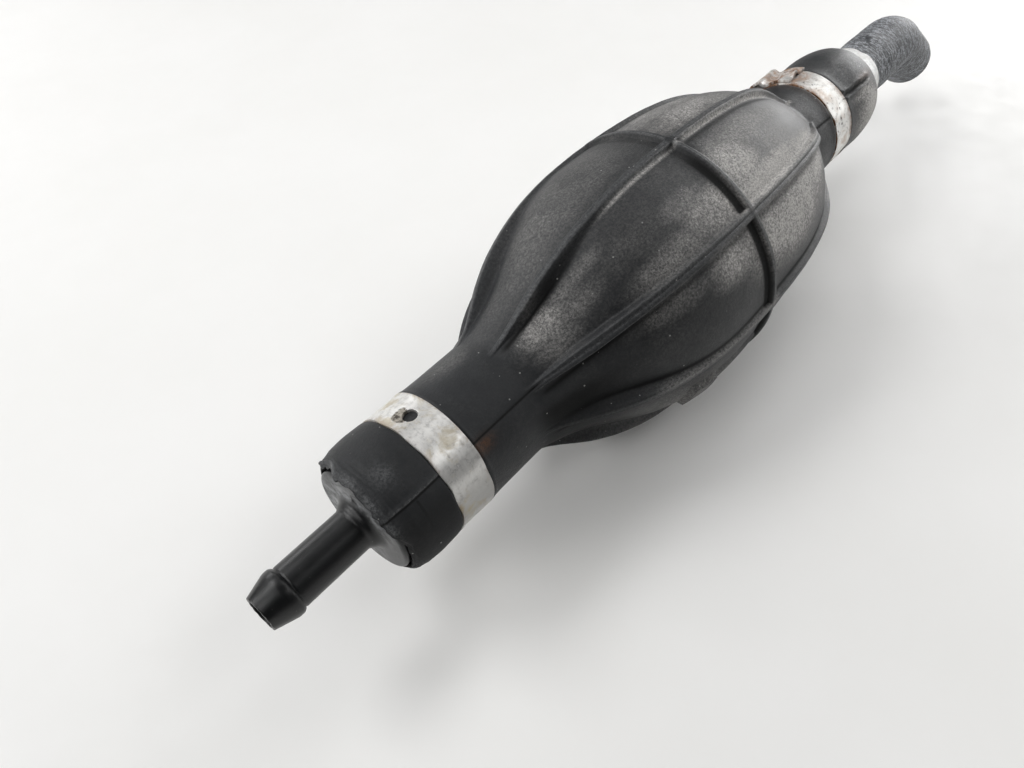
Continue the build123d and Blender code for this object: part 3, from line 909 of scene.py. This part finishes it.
# The nozzle's outline: millimetres from its tip, radius and how much each corner is rounded.
NOZZLE_OUTSIDE = [
    (0, 2.75, 0.15),
    (0, 3.35, 0.25),
    (4.25, 4.6, 0.5),
    (5.3, 4.6, 0.35),
    (5.75, 4.3, 0.15),
    (5.95, 4.02, 0.1),
    (6.25, 4.15, 0.1),
    (19.6, 4.15, 0.5),
    (20.2, 4.75, 0.35),
    (20.9, 5.05, 0.4),
    (21.6, 6.1, 0.4),
    (21.65, 10.1, 0.3),
    (22.0, 10.6, 0.25),
    (23.8, 10.6, 0.2),
    (23.8, 9.2, 0.1),
]
# Then back from the spigot's end, through its chamber and into the passage.
NOZZLE_INSIDE = [(0, 9.2, 0.3), (0, 6.62, 0.2), (-19.0, 6.62, 0.2), (-19.0, 2.75, 0.2)]
FLANGE_X = TIP_X + 21.6 * MM
NOZZLE_COLUMNS = 144


def nozzle_moulding():
    """The outlet nozzle, turned and a little uneven, with its rough tip and its flange's face painted: pale
    as a painted reflection, with painted shade on one side and a painted shadow under the lip.
    """
    corners = [(TIP_X + along * MM, r * MM, cut * MM) for along, r, cut in NOZZLE_OUTSIDE]
    corners += [(SPIGOT_END_X + along * MM, r * MM, cut * MM) for along, r, cut in NOZZLE_INSIDE]
    turns = np.arange(NOZZLE_COLUMNS) * 360 / NOZZLE_COLUMNS
    points = turned(rounded(corners), turns)
    sides = points * (0, 1, 1)
    radii = np.linalg.norm(sides, axis=-1)
    tip = hump(points[..., 0] - TIP_X, 0, 0.5)
    rough_tip = (1 + waves(points, 0.9 * MM, 5)) * 0.09 * MM * tip
    points += sides / radii[..., None] * (waves(points, 6 * MM, 4) * 0.03 * MM)[..., None]
    points[..., 0] += rough_tip
    face = ramp(radii, 5.4, 0.9) * ramp(radii, 10.5, -0.35)
    # Painted shadow of the lip on the face near its rim, and painted shade over the face's side at turn 205.
    face *= 1 - bell(turn_gap(turns, LIP_CREPT_TURN), 75) * ramp(radii, 9.3, 0.5)
    face *= hump(points[..., 0] - FLANGE_X, 0, 0.7) * (1 - 0.85 * bell(turn_gap(turns, 205), 60))
    return lattice("nozzle_moulding", points[::-1], True, True, {"face": face[::-1]})


nozzle = nozzle_moulding()
plastic = fitting_plastic()
wear(nozzle, plastic)
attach(nozzle, "pump_body")
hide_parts("outlet_nozzle")

# ---- clamps ----

STRIP_THICK = 0.6 * MM
EAR_HALF = 2.6 * MM
EAR_HEIGHT = 2.2 * MM
# The ear's outline: shares of its half width and of its height.
EAR = [(-1.0, 0.35), (-0.86, 0.8), (-0.45, 1.0), (0.0, 1.02), (0.45, 1.0), (0.86, 0.8), (1.0, 0.35)]
EAR_PINCH = 0.92
ROUTE_STEP = 2.0  # degrees, like the tails' starts and lengths
TAIL_START = 8
TAIL_TURN = 55
SHORT_TAIL_TURN = 32
HOOK_LENGTH = 1.7 * MM
HOOK_LIFT = 1.3 * MM
WIDE_BAND = 6 * MM  # both necks' clamps are wider, the hose's is narrower
WIDE_HOLE_R = 1.4 * MM
NARROW_HOLE_R = 0.8 * MM
HOLE_MARK_SHIFT = 1.3 * MM


def strip_route(inner_r, ear_turn, tail_turn):
    """The strip's outer face seen along the pump axis: once round, over the ear, then over its own start."""
    outer_r = inner_r + STRIP_THICK
    ear_gap = math.degrees(EAR_HALF / outer_r)
    once_round = np.arange(ear_turn + TAIL_START, ear_turn + 360 - ear_gap, ROUTE_STEP)
    route = [on_circle(outer_r, turn) for turn in once_round]
    out = np.array(on_circle(1, ear_turn))
    side = np.array((-out[1], out[0]))
    for across, up in EAR:
        route.append(out * (outer_r + up * EAR_HEIGHT) + side * across * EAR_HALF * EAR_PINCH)
    tail_r = outer_r + 1.05 * STRIP_THICK
    tail = np.arange(ear_turn + ear_gap + 0.5, ear_turn + TAIL_START + tail_turn, ROUTE_STEP)
    route += [on_circle(tail_r, turn) for turn in tail]
    return flowing(route, 0.32 * MM)


def punched(points, ahead, run, rise, hole_r):
    """Draws the points at a hole's rim onto its circle, and says which are its rim and which are inside."""
    distance = np.hypot(run, rise)
    inside = distance < hole_r
    kept_in = np.roll(inside, 1, 0) & np.roll(inside, -1, 0) & np.roll(inside, 1, 1) & np.roll(inside, -1, 1)
    rim = inside & ~kept_in
    scale = np.where(rim, hole_r / np.maximum(distance, 1e-9), 1)
    points += (np.insert(ahead, 0, 0, axis=1)[:, None, :]) * (run * (scale - 1))[..., None]
    points[..., 0] += rise * (scale - 1)
    return rim, inside & ~rim


def strip_faces(rim, gone):
    """The strip's faces, without those inside its hole."""
    rows, columns = rim.shape
    faces = []
    for i in range(rows - 1):
        for j in range(columns - 1):
            corners = ((i, j), (i + 1, j), (i + 1, j + 1), (i, j + 1))
            if not any(gone[c] for c in corners) and not all(rim[c] for c in corners):
                faces.append([row * columns + column for row, column in corners])
    return faces


def strip_clamp(name, band, inner_r, material, ear_turn, hole_turn, dent_turn, tail_shift, hooked=False):
    """A steel strip clamp with its pinched ear, overlapping tail and punched hole."""
    width = band[1].x - band[0].x
    wide = width > WIDE_BAND
    tail_turn = SHORT_TAIL_TURN if hooked else TAIL_TURN
    route = strip_route(inner_r, ear_turn, tail_turn)
    ahead = np.gradient(route, axis=0)
    ahead /= np.linalg.norm(ahead, axis=1, keepdims=True)
    outward = np.stack([ahead[:, 1], -ahead[:, 0]], -1)
    length = np.append(0, np.cumsum(np.linalg.norm(np.diff(route, axis=0), axis=1)))
    to_end = length[-1] - length
    turn = np.degrees(np.arctan2(route[:, 1], route[:, 0]))
    across = np.linspace(-1, 1, max(13, int(width / (0.4 * MM))))
    on_tail = ramp(tail_turn * TURN * inner_r - to_end, 0, 3)
    middle = (band[0].x + band[1].x) / 2
    x = middle + across[None, :] * width / 2 + (on_tail * tail_shift)[:, None]
    x[:, 0] += 0.1 * MM * np.sin(length * 900)
    edge_curl = 0.1 * MM * across[None, :] ** 6
    dent = bell(turn_gap(turn, dent_turn), 9)[:, None] * 0.3 * MM
    hook = np.clip(1 - to_end / HOOK_LENGTH, 0, 1)[:, None] * np.clip(1 - np.abs(across + 0.1) / 0.42, 0, 1)
    lift = edge_curl - dent + hooked * HOOK_LIFT * hook
    points = np.empty((len(route), len(across), 3))
    points[..., 0] = x
    points[..., 1:] = route[:, None, :] + outward[:, None, :] * lift[..., None]
    points[..., 1:] += outward[:, None, :] * (waves(points, 5 * MM, 6) * 0.07 * MM)[..., None]
    first_round = np.arange(len(route)) < len(route) * 0.8
    hole_row = np.argmin(np.where(first_round, np.abs(turn_gap(turn, hole_turn)), np.inf))
    run = (length - length[hole_row])[:, None] + 0 * across[None, :]
    rise = x - middle
    rim, gone = punched(points, ahead, run, rise, WIDE_HOLE_R if wide else NARROW_HOLE_R)
    mesh = bpy.data.meshes.new(name)
    mesh.from_pydata(points.reshape(-1, 3).tolist(), [], strip_faces(rim, gone))
    spread = 0.1 + hooked * 0.9 * bell(turn_gap(turn, ear_turn + 5), 42)[:, None]
    near_edge = 1.3 * np.exp((-1 - across)[None, :] / spread)
    far_edge = np.exp((across - 1)[None, :] / (0.06 + hooked * 0.1))
    rusty_patch = hooked * bell(turn_gap(turn, ear_turn + 26), 30)[:, None]
    paint(mesh, "edge", largest([near_edge, far_edge, rusty_patch]) + 0 * run)
    hole_mark = 1.3 * hump(np.hypot(run + HOLE_MARK_SHIFT, rise + 0.5 * HOLE_MARK_SHIFT), 0, 1.8)
    paint(mesh, "mark", hole_mark * wide)
    # Paints the outlet clamp darker round one side.
    dimmed_side_amount = 0.85 * bell(turn_gap(turn, 176), 24)[:, None] * wide * (not hooked)
    paint(mesh, "dimmed_side", dimmed_side_amount + 0 * run)
    flat = np.stack([run + length[hole_row], rise], -1).reshape(-1, 2)
    lay_flat(mesh, "strip", flat[points_at_corners(mesh)])
    piece = added(name, mesh)
    drop_loose_points(mesh)
    thicken(piece, STRIP_THICK, 0.13 * MM)
    wear(piece, material)
    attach(piece, "pump_body")
    return piece


def drop_loose_points(mesh):
    work = bmesh.new()
    work.from_mesh(mesh)
    for point in [point for point in work.verts if not point.link_faces]:
        work.verts.remove(point)
    work.to_mesh(mesh)
    work.free()


def thicken(piece, thickness, edge_round):
    """Gives a skin its thickness, inwards from the face it shows, with rounded edges."""
    solid = piece.modifiers.new("thickness", "SOLIDIFY")
    solid.thickness = thickness
    solid.offset = -1
    solid.use_even_offset = True
    soften = piece.modifiers.new("edges", "BEVEL")
    soften.width = edge_round
    soften.segments = 2
    soften.limit_method = "ANGLE"
    soften.angle_limit = 50 * TURN
    soften.use_clamp_overlap = True
    graph = bpy.context.evaluated_depsgraph_get()
    shaped = piece.evaluated_get(graph)
    made = bpy.data.meshes.new_from_object(shaped, preserve_all_data_layers=True, depsgraph=graph)
    piece.modifiers.clear()
    piece.data = made
    made.shade_smooth()


# Tone, the stains' tone, then how metallic, stained and rusted.
stained_zinc = clamp_steel("stained_zinc", (0.84, 0.83, 0.805), (0.46, 0.38, 0.22), 0.6, 0.55, 0.3)
bright_zinc = clamp_steel("bright_zinc", (0.88, 0.87, 0.84), (0.4, 0.24, 0.13), 0.6, 0.4, 1.0)
pale_zinc = clamp_steel("pale_zinc", (0.97, 0.97, 0.96), (0.34, 0.3, 0.24), 0.2, 0.25, 0.3)
NECK_STRIP_R = BAND_SEAT_R + 0.05 * MM
# Last come the turns of ear, hole and dent, how far the tail strays along the pump, and its hook.
strip = strip_clamp("outlet_clamp_strip", NEAR_BAND, NECK_STRIP_R, stained_zinc, 275, 84, 161, 0.3 * MM)
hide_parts("outlet_neck_clamp")
strip = strip_clamp("inlet_clamp_strip", FAR_BAND, NECK_STRIP_R, bright_zinc, 39, 215, 200, 0.8 * MM, True)
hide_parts("inlet_neck_clamp")
strip = strip_clamp("hose_clamp_strip", HOSE_BAND, HOSE_R, pale_zinc, 255, 164, 100, 0.2 * MM)
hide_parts("suction_hose_clamp")

# ---- hose ----


def hose_line(count):
    """The hose's middle line: a straight run, a tight set bend and the end run."""
    cut = BEND_R * math.tan(BEND_ANGLE / 2)
    first = BEND_CORNER_X - cut - HOSE_START_X
    arc = BEND_R * BEND_ANGLE
    last = END_RUN - cut
    at = np.linspace(0, first + arc + last, count)
    turn = np.clip((at - first) / BEND_R, 0, BEND_ANGLE)
    straight = np.minimum(at, first)
    past = np.maximum(at - first - arc, 0)
    x = HOSE_START_X + straight + BEND_R * np.sin(turn) + past * math.cos(BEND_ANGLE)
    z = -BEND_R * (1 - np.cos(turn)) - past * math.sin(BEND_ANGLE)
    return at, turn, np.stack([x, 0 * x, z], -1), first + arc / 2


def hose_cover():
    """The hose's cover, pinched a little inside its bend, and its bore."""
    at, turn, line, bend_middle = hose_line(HOSE_ROWS)
    angle = np.arange(HOSE_COLUMNS) / HOSE_COLUMNS * math.tau
    up = np.stack([np.sin(turn), 0 * turn, np.cos(turn)], -1)
    side = np.array((0, 1, 0))
    ring = up[:, None, :] * np.sin(angle)[None, :, None] + side * np.cos(angle)[None, :, None]
    end_round = 0.35 * MM * hump(at[-1] - at, 0, 0.3)
    barb_swell = 0.15 * MM * hump(at, 16.6, 3)
    from_bend = at - bend_middle
    buckle = 0.35 * MM * (hump(from_bend, 3.6, 1.8) + hump(from_bend, -3.6, 1.8))
    buckle -= 0.9 * MM * hump(from_bend, 0, 1.5)
    inner_side = ease((-np.sin(angle) - 0.1) / 0.9)
    radius = (HOSE_R - end_round + barb_swell)[:, None] + buckle[:, None] * inner_side[None, :]
    points = line[:, None, :] + ring * radius[..., None]
    uneven = waves(points, 5 * MM, 8) * 0.12 * MM + waves(points, 1.3 * MM, 9) * 0.06 * MM
    points += ring * uneven[..., None]
    bore = (line[::-1, None, :] + ring[::-1] * HOSE_BORE_R)[::BORE_ROW_STEP]
    piece = lattice("hose_cover", np.vstack([points, bore])[::-1], True, True)
    mesh = piece.data
    cut = np.arange(len(bore) + HOSE_ROWS) < len(bore) + 1
    paint(mesh, "cut", np.repeat(cut, HOSE_COLUMNS))
    along = np.concatenate([at, at[::-1][::BORE_ROW_STEP]])[::-1]
    corner_points = points_at_corners(mesh)
    column = (corner_points % HOSE_COLUMNS).reshape(-1, 4)
    # Faces that close the turn run on past the last column instead of back to the first.
    closing = np.ptp(column, axis=1, keepdims=True) > HOSE_COLUMNS / 2
    column = column + HOSE_COLUMNS * (closing & (column < HOSE_COLUMNS / 2))
    around = column.reshape(-1) / HOSE_COLUMNS * math.tau * HOSE_R
    lay_flat(mesh, "hose", np.stack([along[corner_points // HOSE_COLUMNS], around], -1))
    return piece


hose = hose_cover()
wear(hose, hose_rubber())
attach(hose, "pump_body")
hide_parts("suction_hose")

# ---- parts inside ----

acetal = plain_grain("acetal", (0.62, 0.6, 0.54), (0.74, 0.73, 0.68), 0.42, 300)
washer = plain_grain("washer_rubber", (0.01, 0.01, 0.011), (0.022, 0.022, 0.023), 0.6, 500, bump=0.3)
wire = plain_grain("spring_wire", (0.48, 0.48, 0.47), (0.66, 0.66, 0.65), 0.28, 700, metallic=1.0)
INSIDE = {
    "outlet_valve_seat": acetal,
    "outlet_valve_poppet": acetal,
    "inlet_valve_poppet": acetal,
    "inlet_spring_cage": acetal,
    "outlet_valve_seal": washer,
    "inlet_valve_seal": washer,
    "inlet_fitting": plastic,
}
for name, material in INSIDE.items():
    wear(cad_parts[name], material)

SPRING_WIRE_R = 0.3 * MM
COIL_TURNS = 6.5  # the first and last turn are closed
COIL_ROWS = 190
WIRE_COLUMNS = 10
CLOSED_PITCH = 0.62 * MM


def coil_spring(name, node):
    """A coil with closed ends, as long as its part in the frame."""
    low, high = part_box(node)
    length = high.x - low.x
    open_turns = COIL_TURNS - 2
    pitch = (length - 2 * SPRING_WIRE_R - 2 * CLOSED_PITCH) / open_turns
    at = np.linspace(0, COIL_TURNS, COIL_ROWS)
    x = low.x + SPRING_WIRE_R + pitch * np.clip(at - 1, 0, open_turns)
    x += CLOSED_PITCH * (np.minimum(at, 1) + np.maximum(at - COIL_TURNS + 1, 0))
    outward = np.stack([0 * at, np.cos(at * math.tau), np.sin(at * math.tau)], -1)
    line = outward * (high.y - SPRING_WIRE_R)
    line[:, 0] = x
    around = np.arange(WIRE_COLUMNS)[None, :, None] / WIRE_COLUMNS * math.tau
    ring = outward[:, None, :] * np.cos(around) + np.array((1, 0, 0)) * np.sin(around)
    piece = lattice(name, line[:, None, :] + ring * SPRING_WIRE_R, False, True, caps=True)
    wear(piece, wire)
    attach(piece, "pump_body")
    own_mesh(piece)
    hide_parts(node)


coil_spring("outlet_spring_coil", "outlet_valve_spring")
coil_spring("inlet_spring_coil", "inlet_valve_spring")

# ---- floor, light and camera ----

FLOOR_SIZE = 6.0
bpy.ops.mesh.primitive_plane_add(size=FLOOR_SIZE, location=(0.1, 0, FLOOR_Z))
floor = bpy.context.object
floor.name = "floor"
wear(floor, plain_grain("pale_floor", (0.885, 0.88, 0.86), (0.91, 0.905, 0.89), 0.6, 12, bump=0.02))


PUMP_MIDDLE = Vector((0.1, 0, 0))


def soft_panel(name, turn, up, size, power):
    """A light that faces the pump's middle, from so many degrees round from +X and so many up."""
    distance, width, height = size
    lamp = bpy.data.lights.new(name, "AREA")
    lamp.shape = "RECTANGLE"
    lamp.size, lamp.size_y = width, height
    lamp.energy = power
    made = added(name, lamp)
    level, rise = on_circle(1, up)
    way = Vector((*on_circle(level, turn), rise))
    made.location = PUMP_MIDDLE + way * distance
    made.rotation_euler = (-way).to_track_quat("-Z", "Y").to_euler()


WALL_PANEL = (1.3, 0.62, 0.4)  # distance, width and height
LIGHTS = {
    "far_wall": (0, 10, WALL_PANEL, 8.2),
    "far_wall_front": (-30, 12, WALL_PANEL, 2.1),
    "far_wall_back": (60, 28, WALL_PANEL, 1.5),
    "back_wall": (90, 20, WALL_PANEL, 3.0),
    "left_wall": (140, 25, WALL_PANEL, 6.0),
    "back_overhead": (120, 55, WALL_PANEL, 5.3),
    "left_overhead": (180, 50, WALL_PANEL, 2.4),
    "front_overhead": (-60, 50, WALL_PANEL, 2.2),
    "close_overhead": (27, 74, (0.42, 0.25, 0.25), 0.21),
    "close_far_end": (-12, 45, (0.35, 0.2, 0.2), 0.2),
}
for name, settings in LIGHTS.items():
    soft_panel(name, *settings)
world = bpy.data.worlds.new("studio")
world.use_nodes = True
background = world.node_tree.nodes["Background"]
background.inputs["Color"].default_value = (0.97, 0.98, 1.0, 1)
background.inputs["Strength"].default_value = 0.02
bpy.context.scene.world = world
bpy.context.scene.view_settings.view_transform = "Standard"

camera = added("camera", bpy.data.cameras.new("camera"))
camera.data.lens = LENS
camera.data.clip_start = 1 * MM
turned_to = Matrix((CAMERA_RIGHT, CAMERA_UP, CAMERA_RIGHT.cross(CAMERA_UP))).transposed()
camera.matrix_world = Matrix.Translation(CAMERA_PLACE) @ turned_to.to_4x4()
bpy.context.scene.camera = camera
